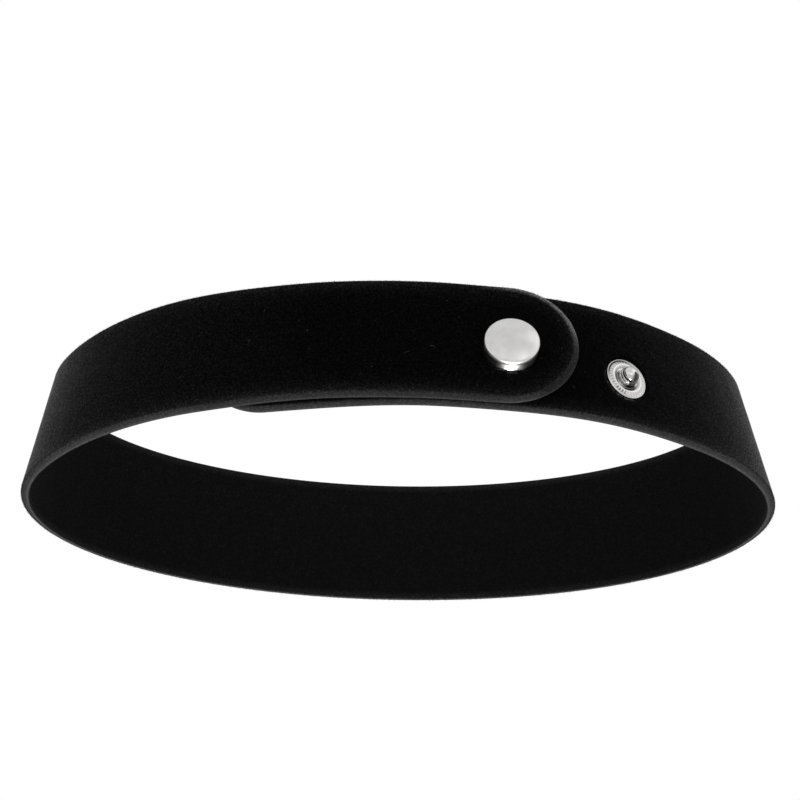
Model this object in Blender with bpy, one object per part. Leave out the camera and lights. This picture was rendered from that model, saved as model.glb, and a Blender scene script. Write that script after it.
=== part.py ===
"""Choker necklace: one velvet strap worn round the neck and closed at the nape by press snaps.

The strap makes one whole turn. Its tail lies against the neck and its tab closes over the tail.
The tab carries a domed cap outside and a socket inside. The tail carries two studs: one is pressed
into the socket, and the other stays open for a looser fit. Each stud has a rivet on the neck side.

Frame: +Z runs up the neck, +X to the right of someone who looks at the nape, and the closure
faces -Y. The origin is the middle of the neck opening, half way up the strap. Sizes in metres.
"""

import math

import bmesh
import bpy
import numpy as np
from mathutils import Matrix, Vector

# Strap
STRAP_WIDTH = 0.0250
STRAP_THICKNESS = 0.0017
EDGE_ROLL = 0.0006  # how far the pile rolls in from a long edge
TIP_ROLL = 0.0012  # how far it rolls in from a tip

# Loop, measured at the lower edge of the strap's outer face. It is wider below, as a neck is.
LOOP_HALF_WIDTH = 0.0734
LOOP_HALF_DEPTH = 0.0481
FLARE_NAPE = math.radians(6.4)
FLARE_SIDE = math.radians(12.5)

# Closure, in distances along that edge from the loop's nearest point, positive to the right
SNAP_SIDE = 0.0127
SNAP_SPACING = 0.0251
CAP_UP = 0.0106  # the cap's middle above the tab's lower edge
STUD_UP = 0.0099  # the open stud's middle above the tail's lower edge
TAB_REACH = 0.0117  # from the closed snap to the tab's tip
TAIL_REACH = 0.0553  # from the closed snap back to the tail's tip

# Lie of the two layers
LAYER_GAP = 0.0014  # between the tab's layer and the tail, at their lower edges
OVERLAP_RAMP = 0.0405  # length in which the tab's layer climbs over the tail's tip
GAP_RAMP = 0.0250  # length past that tip in which the gap opens
TAB_LIFT = 0.0043  # the tab straightens, so that its tip stands this far off
TAB_LIFT_START = 0.0015
TAB_LEAN = math.radians(2.8)  # the most that the tab's layer leans in onto the tail
TAB_DROP = 0.0009
NAPE_LIFT = 0.0006  # the snap pulls the tail's layer this far off the ellipse
NAPE_LIFT_MIDDLE = 0.0306
NAPE_LIFT_REACH = 0.0237
TAIL_DROP = 0.0007
TAIL_DROP_LENGTH = 0.0290

# Press snaps
FIT_GAP = 0.0003  # between a snap's piece and what it is pressed into
SNAP_PLAY = 0.0003  # room for the stud to stand a little askew in the socket
CAP_RADIUS = 0.0050
CAP_SKIRT = 0.0025
CAP_DOME = 0.0014
CAP_SINK = 0.0002
POST_WALL = 0.0004
SOCKET_RADIUS = 0.0043
SOCKET_SINK = 0.00025
FLANGE_RADIUS = 0.00415
FLANGE_THICKNESS = 0.0004
FLANGE_PROUD = 0.0001
FLANGE_BEAD = 0.0002  # height of the bead round the collar, above the flange
COLLAR_RADIUS = 0.0019
COLLAR_HEIGHT = 0.0013
BALL_RADIUS = 0.00155
STUD_HEIGHT = 0.0025
RIVET_RADIUS = 0.0010
RIVET_HEAD_RADIUS = 0.0038
RIVET_HEAD_THICKNESS = 0.0005
RIVET_SINK = 0.0002
RIVET_REACH = 0.0008  # how far the rivet enters the stud, past its flange's underside

FLANGE_TEETH = 36
TOOTH_RELIEF = 0.00012

# Fineness of the curves
LOOP_SAMPLES = 4001
STRAP_STATIONS = 104
TIP_STATIONS = 9
ROUND_SIDES = 40
SMOOTH_ANGLE = math.radians(35)

# The strap's edge from its outer face to its inner face: "inset" is a share of EDGE_ROLL, or of
# TIP_ROLL at a tip, and "depth" a share of STRAP_THICKNESS.
EDGE_PROFILE = (
    # inset, depth
    (1.00, 0.00),
    (0.45, 0.10),
    (0.12, 0.34),
    (0.00, 0.70),
    (0.08, 1.00),
)

# The cap from its foot up: a bead on the velvet, a waist, and a rim that curls in under a low dome.
# Radii are shares of CAP_RADIUS. The skirt's heights are shares of CAP_SKIRT and CAP_SINK together,
# above the cap's base, and the dome's are shares of CAP_DOME above the skirt.
SKIRT_PROFILE = (
    # radius, height
    (0.920, 0.00),
    (0.960, 0.13),
    (0.880, 0.30),
    (0.865, 0.41),
    (0.970, 0.74),
    (1.000, 0.86),
    (1.000, 1.00),
)
DOME_PROFILE = (
    # radius, height
    (0.992, 0.14),
    (0.970, 0.25),
    (0.920, 0.37),
    (0.800, 0.54),
    (0.600, 0.75),
    (0.400, 0.89),
    (0.200, 0.97),
    (0.000, 1.00),
)

# The stud from its flange's rim to its ball's top. Radii are shares of FLANGE_RADIUS, COLLAR_RADIUS
# and BALL_RADIUS, and heights are shares of FLANGE_BEAD above the flange, of COLLAR_HEIGHT, and of
# what is left of STUD_HEIGHT above the collar.
FLANGE_PROFILE = (
    # radius, height
    (1.00, -0.80),
    (0.80, 0.90),
    (0.68, 1.00),
    (0.51, -0.40),
)
COLLAR_PROFILE = (
    # radius, height
    (1.00, 0.05),
    (0.98, 0.60),
    (0.86, 1.00),
)
BALL_PROFILE = (
    # radius, height
    (0.90, 0.00),
    (0.90, 0.08),
    (1.00, 0.22),
    (0.99, 0.50),
    (0.78, 0.82),
    (0.42, 0.96),
    (0.00, 1.00),
)
BEVEL_SHARE = 0.3  # of the thickness of the socket's ring and of a rivet's head

# Colour, roughness and metallic value of each sub-part
FINISHES = {
    "strap": ((0.008, 0.008, 0.009), 0.95, 0.0),
    "snap_cap": ((0.72, 0.71, 0.69), 0.28, 1.0),
    "snap_socket": ((0.58, 0.57, 0.55), 0.35, 1.0),
    "snap_stud_closed": ((0.66, 0.65, 0.63), 0.25, 1.0),
    "snap_stud_open": ((0.66, 0.65, 0.63), 0.25, 1.0),
    "snap_rivet_closed": ((0.60, 0.59, 0.57), 0.35, 1.0),
    "snap_rivet_open": ((0.60, 0.59, 0.57), 0.35, 1.0),
}


def smooth_step(share):
    """0 below 0, 1 above 1, and an even S between."""
    share = np.clip(share, 0.0, 1.0)
    return share * share * (3.0 - 2.0 * share)


def frame_of(origin, up, out):
    """Matrix at this origin whose Z is the outward direction and whose Y is nearest to the one up."""
    out = Vector(out).normalized()
    side = Vector(up).cross(out).normalized()
    matrix = Matrix((side, out.cross(side), out)).transposed().to_4x4()
    matrix.translation = Vector(origin)
    return matrix


class Loop:
    """The ellipse under the strap, walked by distance from its nearest point, and the strap's lie on it."""

    def __init__(self):
        self.turn = np.linspace(-math.pi, math.pi, LOOP_SAMPLES)
        across = LOOP_HALF_WIDTH * np.sin(self.turn)
        deep = -LOOP_HALF_DEPTH * np.cos(self.turn)
        steps = np.hypot(np.diff(across), np.diff(deep))
        self.walked = np.concatenate([[0.0], np.cumsum(steps)])
        self.length = self.walked[-1]
        self.walked -= self.length / 2
        self.tail_tip = SNAP_SIDE - TAIL_REACH
        self.tab_tip = self.length + SNAP_SIDE + TAB_REACH
        self.base_height = -STRAP_WIDTH * math.cos(FLARE_SIDE) / 2

    def on_ellipse(self, along):
        """Points and outward normals of the ellipse, and the flare there."""
        half = self.length / 2
        turn = np.interp((along + half) % self.length - half, self.walked, self.turn)
        points = np.stack(
            [LOOP_HALF_WIDTH * np.sin(turn), -LOOP_HALF_DEPTH * np.cos(turn), 0 * turn], -1
        )
        normals = np.stack(
            [np.sin(turn) / LOOP_HALF_WIDTH, -np.cos(turn) / LOOP_HALF_DEPTH, 0 * turn], -1
        )
        flare = FLARE_SIDE + (FLARE_NAPE - FLARE_SIDE) * np.cos(turn) ** 2
        return points, normals / np.linalg.norm(normals, axis=-1, keepdims=True), flare[..., None]

    def nape_lift(self, along):
        """How far the tail's layer is pulled off the ellipse."""
        nape = np.clip((along - NAPE_LIFT_MIDDLE) / NAPE_LIFT_REACH, -1.0, 1.0)
        return NAPE_LIFT * np.cos(nape * math.pi / 2) ** 2

    def stand_off(self, along):
        """How far off the ellipse the strap lies, from the tail's tip to the tab's tip."""
        past_tail_tip = along - self.length - self.tail_tip
        climb = (STRAP_THICKNESS + FIT_GAP) * smooth_step(past_tail_tip / OVERLAP_RAMP + 1.0)
        opening = (LAYER_GAP - FIT_GAP) * smooth_step(past_tail_tip / GAP_RAMP)
        lift_start = self.length + TAB_LIFT_START
        lift = TAB_LIFT * np.clip((along - lift_start) / (self.tab_tip - lift_start), 0.0, None) ** 2
        return self.nape_lift(along) + climb + opening + lift

    def lean(self, along):
        """How much more the strap leans in where it covers the tail, to bring its upper edge near."""
        tail_off = STRAP_THICKNESS + FIT_GAP + self.nape_lift(along - self.length)
        room = np.clip(self.stand_off(along) - tail_off, 0.0, None) / STRAP_WIDTH
        covers = along > self.length + self.tail_tip
        return np.where(covers, TAB_LEAN * np.tanh(room / TAB_LEAN), 0.0)

    def rise(self, along):
        """How far up the strap lies: both its ends hang a little low."""
        tail = smooth_step(-along / TAIL_DROP_LENGTH)
        tab = smooth_step((along - self.length) / (self.tab_tip - self.length))
        return -TAIL_DROP * tail - TAB_DROP * tab

    def lower_edge(self, along):
        """Points of the outer face's lower edge, and the direction up the face."""
        points, normals, flare = self.on_ellipse(along)
        flare = flare + self.lean(along)[..., None]
        up = np.array([0.0, 0.0, 1.0]) * np.cos(flare) - normals * np.sin(flare)
        points = points + normals * self.stand_off(along)[..., None] + up * self.rise(along)[..., None]
        points[..., 2] += self.base_height
        return points, up

    def axes(self, along):
        """Lower edge point, direction up the face and outward direction, square to the strap's run."""
        step = self.length / LOOP_SAMPLES
        points, up = self.lower_edge(along)
        run = self.lower_edge(along + step)[0] - self.lower_edge(along - step)[0]
        out = np.cross(run, up)
        out /= np.linalg.norm(out, axis=-1, keepdims=True)
        up = np.cross(out, run)
        up /= np.linalg.norm(up, axis=-1, keepdims=True)
        return points, up, out

    def place(self, along, height, depth):
        """Points at these distances along the strap, up its face and in from its outer face."""
        along = np.atleast_1d(np.asarray(along, float))
        points, up, out = self.axes(along)
        return points + up * np.reshape(height, (-1, 1)) - out * np.reshape(depth, (-1, 1))

    def snap_gap(self):
        """Room between the tab and the tail at the closed snap."""
        tab = self.snap_frame(self.length + SNAP_SIDE, CAP_UP)
        tail = self.snap_frame(SNAP_SIDE, CAP_UP)
        return (tab.translation - tail.translation).dot(tab.col[2].xyz) - STRAP_THICKNESS

    def snap_frame(self, along, height):
        """Matrix whose origin is on the outer face and whose Z points outward."""
        points, up, out = (item[0] for item in self.axes(np.array([along])))
        return frame_of(points + up * height, up, out)

    def closed_stud_frame(self):
        """The closed stud's matrix: on the tail under the cap, half as askew as the two layers are."""
        tab = self.snap_frame(self.length + SNAP_SIDE, CAP_UP)
        tail = self.snap_frame(SNAP_SIDE, CAP_UP)
        out = (tab.col[2].xyz + tail.col[2].xyz).normalized()
        origin = tab @ Vector((0.0, 0.0, -STRAP_THICKNESS - self.snap_gap()))
        return frame_of(origin, tab.col[1].xyz, out)


def outline(loop, inset_edge, inset_tip):
    """Distances along the strap and half widths, from the tail's tip to the tab's tip."""
    radius = STRAP_WIDTH / 2
    angles = np.linspace(math.pi / 2, 0.0, TIP_STATIONS)
    reach = (radius - inset_tip) * np.sin(angles)
    half = (radius - inset_edge) * np.cos(angles)
    tail_centre = loop.tail_tip + radius
    tab_centre = loop.tab_tip - radius
    straight = np.linspace(tail_centre, tab_centre, STRAP_STATIONS)[1:-1]
    along = np.concatenate([tail_centre - reach, straight, tab_centre + reach[::-1]])
    halves = np.concatenate([half, np.full(len(straight), radius - inset_edge), half[::-1]])
    return along, halves


def link(name, mesh, matrix=None):
    """Adds a mesh to the scene under this name, placed by its matrix."""
    body = bpy.data.objects.new(name, mesh)
    bpy.context.scene.collection.objects.link(body)
    if matrix is not None:
        body.matrix_world = matrix
    return body


def finish(body, smooth_angle=SMOOTH_ANGLE):
    """Gives a body its material and its shading."""
    colour, roughness, metallic = FINISHES[body.name]
    material = bpy.data.materials.new(body.name)
    material.use_nodes = True
    shader = material.node_tree.nodes["Principled BSDF"]
    shader.inputs["Base Color"].default_value = (*colour, 1.0)
    shader.inputs["Roughness"].default_value = roughness
    shader.inputs["Metallic"].default_value = metallic
    material.diffuse_color = (*colour, 1.0)
    if not body.data.materials:
        body.data.materials.append(None)
    body.material_slots[0].link = "OBJECT"
    body.material_slots[0].material = material
    body.data.shade_smooth()
    body.data.set_sharp_from_angle(angle=smooth_angle)


def mesh_from(name, builder):
    """A mesh from a function that fills a bmesh, with its faces turned outward."""
    solid = bmesh.new()
    builder(solid)
    bmesh.ops.recalc_face_normals(solid, faces=solid.faces)
    mesh = bpy.data.meshes.new(name)
    solid.to_mesh(mesh)
    solid.free()
    return mesh


def strap_mesh(loop):
    """One closed band: a ring of points for each row of the edge's profile, and a face on each side."""

    def fill(solid):
        rings = []
        for inset, depth in EDGE_PROFILE:
            along, halves = outline(loop, inset * EDGE_ROLL, inset * TIP_ROLL)
            middle = STRAP_WIDTH / 2
            upper = loop.place(along, middle + halves, np.full(len(along), depth * STRAP_THICKNESS))
            lower = loop.place(along, middle - halves, np.full(len(along), depth * STRAP_THICKNESS))
            upper = [solid.verts.new(point) for point in upper]
            lower = [solid.verts.new(point) for point in lower[1:-1]]
            rings.append(upper + lower[::-1])
        count = len(rings[0])
        for ring, following in zip(rings, rings[1:]):
            for here in range(count):
                there = (here + 1) % count
                solid.faces.new((ring[here], ring[there], following[there], following[here]))
        for ring in (rings[0], rings[-1]):
            pairs = [(ring[here], ring[-here]) for here in range(1, (count + 1) // 2)]
            solid.faces.new((ring[0], *pairs[0]))
            for (top, bottom), (next_top, next_bottom) in zip(pairs, pairs[1:]):
                solid.faces.new((top, next_top, next_bottom, bottom))
            solid.faces.new((*pairs[-1], ring[count // 2]))

    return mesh_from("strap", fill)


def turned_mesh(name, profile, sides, closed=False, teeth=()):
    """A solid turned about Z from (radius, height) rows. The rows in teeth rise on every other side."""

    def fill(solid):
        rings = []
        for row, (radius, height) in enumerate(profile):
            if radius == 0.0:
                rings.append([solid.verts.new((0.0, 0.0, height))] * sides)
                continue
            ring = []
            for side in range(sides):
                angle = 2 * math.pi * side / sides
                relief = TOOTH_RELIEF if row in teeth and side % 2 else 0.0
                ring.append(
                    solid.verts.new((radius * math.cos(angle), radius * math.sin(angle), height - relief))
                )
            rings.append(ring)
        pairs = list(zip(rings, rings[1:]))
        if closed:
            pairs.append((rings[-1], rings[0]))
        for lower, upper in pairs:
            for side in range(sides):
                there = (side + 1) % sides
                corners = (lower[side], lower[there], upper[there], upper[side])
                solid.faces.new(tuple(dict.fromkeys(corners)))

    return mesh_from(name, fill)


def profile_rows(profile, radius, low, height):
    """Rows of a section table, sized to this radius and to this height above the low end."""
    return [(share * radius, low + rise * height) for share, rise in profile]


def socket_floor(loop):
    """Height of the socket's lower face above the tab's outer face: clear of the closed stud's flange."""
    tail_face = -STRAP_THICKNESS - loop.snap_gap()
    return tail_face + FLANGE_PROUD + FLANGE_BEAD + FIT_GAP + SNAP_PLAY


def cap_mesh(loop):
    """Domed cap with a curled rim and a foot, and the tube that passes the tab and ends in the socket."""
    tube_bore = COLLAR_RADIUS + FIT_GAP
    tube_radius = tube_bore + POST_WALL
    tube_end = socket_floor(loop)
    bore_top = -STRAP_THICKNESS - loop.snap_gap() + FLANGE_PROUD + STUD_HEIGHT + FIT_GAP
    rows = [(0.0, bore_top), (tube_bore, bore_top), (tube_bore, tube_end), (tube_radius, tube_end)]
    rows.append((tube_radius, -CAP_SINK))
    rows += profile_rows(SKIRT_PROFILE, CAP_RADIUS, -CAP_SINK, CAP_SKIRT + CAP_SINK)
    rows += profile_rows(DOME_PROFILE, CAP_RADIUS, CAP_SKIRT, CAP_DOME)
    return turned_mesh("snap_cap", rows, ROUND_SIDES)


def socket_mesh(loop):
    """Flat ring round the cap's tube, on the tab's inner face, measured from the tab's outer face."""
    bore = COLLAR_RADIUS + FIT_GAP + POST_WALL + FIT_GAP
    low = socket_floor(loop)
    high = -STRAP_THICKNESS + SOCKET_SINK
    bevel = (high - low) * BEVEL_SHARE
    rows = [
        (bore, low),
        (SOCKET_RADIUS - bevel, low),
        (SOCKET_RADIUS, low + bevel),
        (SOCKET_RADIUS, high - bevel),
        (SOCKET_RADIUS - bevel, high),
        (bore, high),
    ]
    return turned_mesh("snap_socket", rows, ROUND_SIDES, closed=True)


def stud_mesh():
    """Toothed flange, raised bead, stepped collar and necked ball, with a blind bore for the rivet."""
    top = FLANGE_PROUD
    under = top - FLANGE_THICKNESS
    bore = RIVET_RADIUS + FIT_GAP
    bore_top = under + RIVET_REACH + FIT_GAP
    ball_low = top + COLLAR_HEIGHT
    rows = [(0.0, bore_top), (bore, bore_top), (bore, under), (FLANGE_RADIUS, under)]
    rim = len(rows)
    rows += profile_rows(FLANGE_PROFILE, FLANGE_RADIUS, top, FLANGE_BEAD)
    rows += profile_rows(COLLAR_PROFILE, COLLAR_RADIUS, top, COLLAR_HEIGHT)
    rows += profile_rows(BALL_PROFILE, BALL_RADIUS, ball_low, STUD_HEIGHT - COLLAR_HEIGHT)
    return turned_mesh("snap_stud", rows, 2 * FLANGE_TEETH, teeth=(rim, rim + 1))


def rivet_mesh():
    """Flat head on the neck side and a pin up into the stud, measured from the tail's outer face."""
    head_top = -STRAP_THICKNESS + RIVET_SINK
    head_low = head_top - RIVET_HEAD_THICKNESS
    pin_top = FLANGE_PROUD - FLANGE_THICKNESS + RIVET_REACH
    bevel = RIVET_HEAD_THICKNESS * BEVEL_SHARE
    rows = [
        (0.0, head_low),
        (RIVET_HEAD_RADIUS - bevel, head_low),
        (RIVET_HEAD_RADIUS, head_low + bevel),
        (RIVET_HEAD_RADIUS, head_top),
        (RIVET_RADIUS, head_top),
        (RIVET_RADIUS, pin_top),
        (0.0, pin_top),
    ]
    return turned_mesh("snap_rivet", rows, ROUND_SIDES)


def stepped_cutter(rows):
    """A stack of plain cylinders, from (radius, low, high) rows that meet."""
    profile = [(0.0, rows[0][1])]
    for radius, low, high in rows:
        profile += [(radius, low), (radius, high)]
    profile.append((0.0, rows[-1][2]))
    return turned_mesh("cutter", profile, ROUND_SIDES)


def tab_cutter():
    """The socket's seat, the hole for the cap's tube and the cap's seat, from inside to outside."""
    hole = COLLAR_RADIUS + FIT_GAP + POST_WALL + FIT_GAP
    socket_seat = -STRAP_THICKNESS + SOCKET_SINK + FIT_GAP
    cap_seat = -CAP_SINK - FIT_GAP
    return stepped_cutter(
        (
            (SOCKET_RADIUS + FIT_GAP, -STRAP_THICKNESS - LAYER_GAP, socket_seat),
            (hole, socket_seat, cap_seat),
            (CAP_RADIUS + FIT_GAP, cap_seat, CAP_SKIRT),
        )
    )


def tail_cutter():
    """The seat of a rivet's head, the hole for its pin and the seat of a stud's flange."""
    head_seat = -STRAP_THICKNESS + RIVET_SINK + FIT_GAP
    flange_seat = FLANGE_PROUD - FLANGE_THICKNESS - FIT_GAP
    return stepped_cutter(
        (
            (RIVET_HEAD_RADIUS + FIT_GAP, -2 * STRAP_THICKNESS, head_seat),
            (RIVET_RADIUS + FIT_GAP, head_seat, flange_seat),
            (FLANGE_RADIUS + FIT_GAP, flange_seat, LAYER_GAP / 2),
        )
    )


def cut(body, name, mesh, matrix):
    """Cuts one hidden shape out of a body."""
    cutter = link(name, mesh, matrix)
    cutter.hide_render = True
    cutter.display_type = "WIRE"
    modifier = body.modifiers.new(name, "BOOLEAN")
    modifier.operation = "DIFFERENCE"
    modifier.solver = "EXACT"
    modifier.object = cutter


def build():
    for old in list(bpy.data.objects):
        bpy.data.objects.remove(old, do_unlink=True)
    loop = Loop()
    tab_frame = loop.snap_frame(loop.length + SNAP_SIDE, CAP_UP)
    closed_frame = loop.closed_stud_frame()
    open_frame = loop.snap_frame(SNAP_SIDE + SNAP_SPACING, STUD_UP)

    strap = link("strap", strap_mesh(loop))
    cut(strap, "tab_seat", tab_cutter(), tab_frame)
    seat = tail_cutter()
    cut(strap, "closed_stud_seat", seat, closed_frame)
    cut(strap, "open_stud_seat", seat, open_frame)

    bodies = [strap, link("snap_cap", cap_mesh(loop), tab_frame)]
    bodies.append(link("snap_socket", socket_mesh(loop), tab_frame))
    stud = stud_mesh()
    rivet = rivet_mesh()
    for state, frame in (("closed", closed_frame), ("open", open_frame)):
        bodies.append(link(f"snap_stud_{state}", stud, frame))
        bodies.append(link(f"snap_rivet_{state}", rivet, frame))
    for body in bodies:
        finish(body)


build()
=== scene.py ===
"""Looks of the choker necklace: velvet strap, press snaps, floor, light and camera.

The strap's form repeats the source's own formulas, finer, so the cloth lies where its solid does.
Lengths are in metres. +Z runs up the neck and the closure faces -Y.
"""

import math

import bmesh
import bpy
import numpy as np
from mathutils import Matrix, Vector, noise


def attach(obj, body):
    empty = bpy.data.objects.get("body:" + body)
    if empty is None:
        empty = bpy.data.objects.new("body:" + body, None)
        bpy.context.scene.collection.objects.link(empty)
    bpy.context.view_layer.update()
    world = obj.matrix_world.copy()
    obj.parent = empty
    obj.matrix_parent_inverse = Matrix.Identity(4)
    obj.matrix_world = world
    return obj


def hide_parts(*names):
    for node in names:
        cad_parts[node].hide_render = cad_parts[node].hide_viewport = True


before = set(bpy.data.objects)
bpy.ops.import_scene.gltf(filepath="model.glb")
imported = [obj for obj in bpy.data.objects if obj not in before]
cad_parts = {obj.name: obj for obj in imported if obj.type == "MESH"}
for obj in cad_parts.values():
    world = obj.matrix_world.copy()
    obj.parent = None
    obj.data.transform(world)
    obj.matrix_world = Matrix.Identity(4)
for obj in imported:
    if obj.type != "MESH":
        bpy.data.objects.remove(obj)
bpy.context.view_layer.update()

# Strap, as in the part's source
STRAP_WIDTH = 0.0250
STRAP_THICKNESS = 0.0017
EDGE_ROLL = 0.0006
TIP_ROLL = 0.0012
LOOP_HALF_WIDTH = 0.0734
LOOP_HALF_DEPTH = 0.0481
FLARE_NAPE = math.radians(6.4)
FLARE_SIDE = math.radians(12.5)
SNAP_SIDE = 0.0127
SNAP_SPACING = 0.0251
CAP_UP = 0.0106
STUD_UP = 0.0099
TAB_REACH = 0.0117
TAIL_REACH = 0.0553
LAYER_GAP = 0.0014
OVERLAP_RAMP = 0.0405
GAP_RAMP = 0.0250
TAB_LIFT = 0.0043
TAB_LIFT_START = 0.0015
TAB_LEAN = math.radians(2.8)
TAB_DROP = 0.0009
NAPE_LIFT = 0.0006
NAPE_LIFT_MIDDLE = 0.0306
NAPE_LIFT_REACH = 0.0237
TAIL_DROP = 0.0007
TAIL_DROP_LENGTH = 0.0290
LOOP_SAMPLES = 4001

# Press snaps, as in the part's source
FIT_GAP = 0.0003
SNAP_PLAY = 0.0003
CAP_RADIUS = 0.0050
CAP_SKIRT = 0.0025
CAP_DOME = 0.0014
CAP_SINK = 0.0002
POST_WALL = 0.0004
SOCKET_RADIUS = 0.0043
SOCKET_SINK = 0.00025
FLANGE_RADIUS = 0.00415
FLANGE_THICKNESS = 0.0004
FLANGE_PROUD = 0.0001
FLANGE_BEAD = 0.0002
COLLAR_RADIUS = 0.0019
STUD_HEIGHT = 0.0025
RIVET_RADIUS = 0.0010
RIVET_HEAD_RADIUS = 0.0038
RIVET_SINK = 0.0002
RIVET_REACH = 0.0008


def smooth_step(share):
    """0 below 0, 1 above 1, and an even S between."""
    share = np.clip(share, 0.0, 1.0)
    return share * share * (3.0 - 2.0 * share)


def frame_of(origin, up, out):
    """Matrix at this origin whose Z is the outward direction and whose Y is nearest to the one up."""
    out = Vector(out).normalized()
    side = Vector(up).cross(out).normalized()
    matrix = Matrix((side, out.cross(side), out)).transposed().to_4x4()
    matrix.translation = Vector(origin)
    return matrix


class Loop:
    """The ellipse under the strap, walked by distance from its nearest point, and the strap's lie on it."""

    def __init__(self):
        self.turn = np.linspace(-math.pi, math.pi, LOOP_SAMPLES)
        across = LOOP_HALF_WIDTH * np.sin(self.turn)
        deep = -LOOP_HALF_DEPTH * np.cos(self.turn)
        steps = np.hypot(np.diff(across), np.diff(deep))
        self.walked = np.concatenate([[0.0], np.cumsum(steps)])
        self.length = self.walked[-1]
        self.walked -= self.length / 2
        self.tail_tip = SNAP_SIDE - TAIL_REACH
        self.tab_tip = self.length + SNAP_SIDE + TAB_REACH
        self.base_height = -STRAP_WIDTH * math.cos(FLARE_SIDE) / 2

    def on_ellipse(self, along):
        half = self.length / 2
        turn = np.interp((along + half) % self.length - half, self.walked, self.turn)
        points = np.stack([LOOP_HALF_WIDTH * np.sin(turn), -LOOP_HALF_DEPTH * np.cos(turn), 0 * turn], -1)
        normals = np.stack([np.sin(turn) / LOOP_HALF_WIDTH, -np.cos(turn) / LOOP_HALF_DEPTH, 0 * turn], -1)
        flare = FLARE_SIDE + (FLARE_NAPE - FLARE_SIDE) * np.cos(turn) ** 2
        return points, normals / np.linalg.norm(normals, axis=-1, keepdims=True), flare[..., None]

    def nape_lift(self, along):
        nape = np.clip((along - NAPE_LIFT_MIDDLE) / NAPE_LIFT_REACH, -1.0, 1.0)
        return NAPE_LIFT * np.cos(nape * math.pi / 2) ** 2

    def stand_off(self, along):
        past_tail_tip = along - self.length - self.tail_tip
        climb = (STRAP_THICKNESS + FIT_GAP) * smooth_step(past_tail_tip / OVERLAP_RAMP + 1.0)
        opening = (LAYER_GAP - FIT_GAP) * smooth_step(past_tail_tip / GAP_RAMP)
        lift_start = self.length + TAB_LIFT_START
        lift = TAB_LIFT * np.clip((along - lift_start) / (self.tab_tip - lift_start), 0.0, None) ** 2
        return self.nape_lift(along) + climb + opening + lift

    def lean(self, along):
        tail_off = STRAP_THICKNESS + FIT_GAP + self.nape_lift(along - self.length)
        room = np.clip(self.stand_off(along) - tail_off, 0.0, None) / STRAP_WIDTH
        covers = along > self.length + self.tail_tip
        return np.where(covers, TAB_LEAN * np.tanh(room / TAB_LEAN), 0.0)

    def rise(self, along):
        tail = smooth_step(-along / TAIL_DROP_LENGTH)
        tab = smooth_step((along - self.length) / (self.tab_tip - self.length))
        return -TAIL_DROP * tail - TAB_DROP * tab

    def lower_edge(self, along):
        points, normals, flare = self.on_ellipse(along)
        flare = flare + self.lean(along)[..., None]
        up = np.array([0.0, 0.0, 1.0]) * np.cos(flare) - normals * np.sin(flare)
        points = points + normals * self.stand_off(along)[..., None] + up * self.rise(along)[..., None]
        points[..., 2] += self.base_height
        return points, up

    def axes(self, along):
        """Lower edge point, direction up the face and outward direction, square to the strap's run."""
        step = self.length / LOOP_SAMPLES
        points, up = self.lower_edge(along)
        run = self.lower_edge(along + step)[0] - self.lower_edge(along - step)[0]
        out = np.cross(run, up)
        out /= np.linalg.norm(out, axis=-1, keepdims=True)
        up = np.cross(out, run)
        up /= np.linalg.norm(up, axis=-1, keepdims=True)
        return points, up, out

    def snap_frame(self, along, height):
        points, up, out = (item[0] for item in self.axes(np.array([along])))
        return frame_of(points + up * height, up, out)

    def snap_gap(self):
        tab = self.snap_frame(self.length + SNAP_SIDE, CAP_UP)
        tail = self.snap_frame(SNAP_SIDE, CAP_UP)
        return (tab.translation - tail.translation).dot(tab.col[2].xyz) - STRAP_THICKNESS

    def closed_stud_frame(self):
        tab = self.snap_frame(self.length + SNAP_SIDE, CAP_UP)
        tail = self.snap_frame(SNAP_SIDE, CAP_UP)
        out = (tab.col[2].xyz + tail.col[2].xyz).normalized()
        origin = tab @ Vector((0.0, 0.0, -STRAP_THICKNESS - self.snap_gap()))
        return frame_of(origin, tab.col[1].xyz, out)


LOOP = Loop()
TAB_FRAME = LOOP.snap_frame(LOOP.length + SNAP_SIDE, CAP_UP)
CLOSED_FRAME = LOOP.closed_stud_frame()
OPEN_FRAME = LOOP.snap_frame(SNAP_SIDE + SNAP_SPACING, STUD_UP)

# The strap's section, rows and pile

EDGE_ROWS = (
    # inset share, depth share, distance round the edge in millimetres
    (1.00, 0.000, 0.00),
    (0.80, 0.018, 0.14),
    (0.62, 0.050, 0.26),
    (0.45, 0.100, 0.40),
    (0.30, 0.170, 0.54),
    (0.18, 0.260, 0.72),
    (0.09, 0.370, 0.92),
    (0.03, 0.500, 1.14),
    (0.00, 0.630, 1.36),
    (0.00, 0.760, 1.58),
    (0.03, 0.880, 1.78),
    (0.07, 0.970, 1.94),
    (0.12, 1.000, 2.06),
)
FACE_ROWS = 42
FACE_SHARES = np.sin(np.linspace(math.pi / 2, -math.pi / 2, FACE_ROWS + 1))[:-1]
BACK_ROWS = 16
BACK_RIM = 3.0  # the distance round the edge that stands for the inner side
NAP_FADE = 12  # how sharply the nap ends at the strap's edges
FINE_STEP = 0.00028
COARSE_STEP = 0.00065
FINE_REACH = 0.0062  # how far from a snap's middle the fine steps go


def stations():
    """Distances along the strap between its two round ends: closer together round the snaps."""
    radius = STRAP_WIDTH / 2
    spots = (SNAP_SIDE + SNAP_SPACING, LOOP.length + SNAP_SIDE)
    along = [LOOP.tail_tip + radius]
    end = LOOP.tab_tip - radius
    while along[-1] < end:
        near = min(abs(along[-1] - spot) for spot in spots)
        along.append(along[-1] + (FINE_STEP if near < FINE_REACH else COARSE_STEP))
    along = np.array(along)
    return LOOP.tail_tip + radius + (along - along[0]) * (end - along[0]) / (along[-1] - along[0])


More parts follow.
